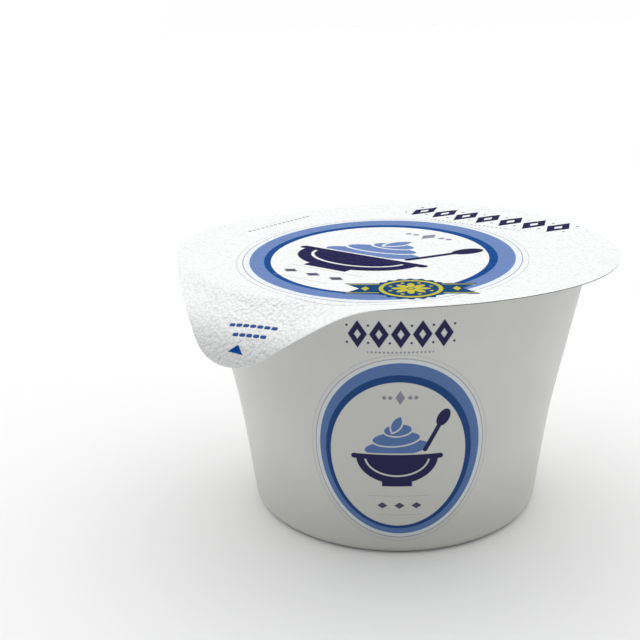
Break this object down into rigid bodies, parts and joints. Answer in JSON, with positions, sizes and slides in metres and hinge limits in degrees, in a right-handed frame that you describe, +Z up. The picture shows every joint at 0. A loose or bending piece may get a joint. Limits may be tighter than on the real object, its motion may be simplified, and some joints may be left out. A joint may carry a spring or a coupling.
{
  "type": "yogurt pot",
  "caption": "Sealed single-serve yogurt pot: tapered plastic cup with a flange and a peel-off lid whose tab is bent down over the edge.",
  "frame": {"origin": "centre of the base, on the cup's axis, on the plane the pot stands on", "axes": "+Z up along the cup's axis, the front of the pot with its printed medallion faces -Y, and the peel tab points towards -X and -Y"},
  "size_m": [0.0952, 0.0966, 0.0582],
  "materials": {
    "cup": "satin white plastic with a printed medallion on the front",
    "lid": "white printed foil laminate with a fine pebbled embossing"
  },
  "bodies": {
    "root": {"cup": "cup", "lid": "lid"}
  },
  "joints": []
}
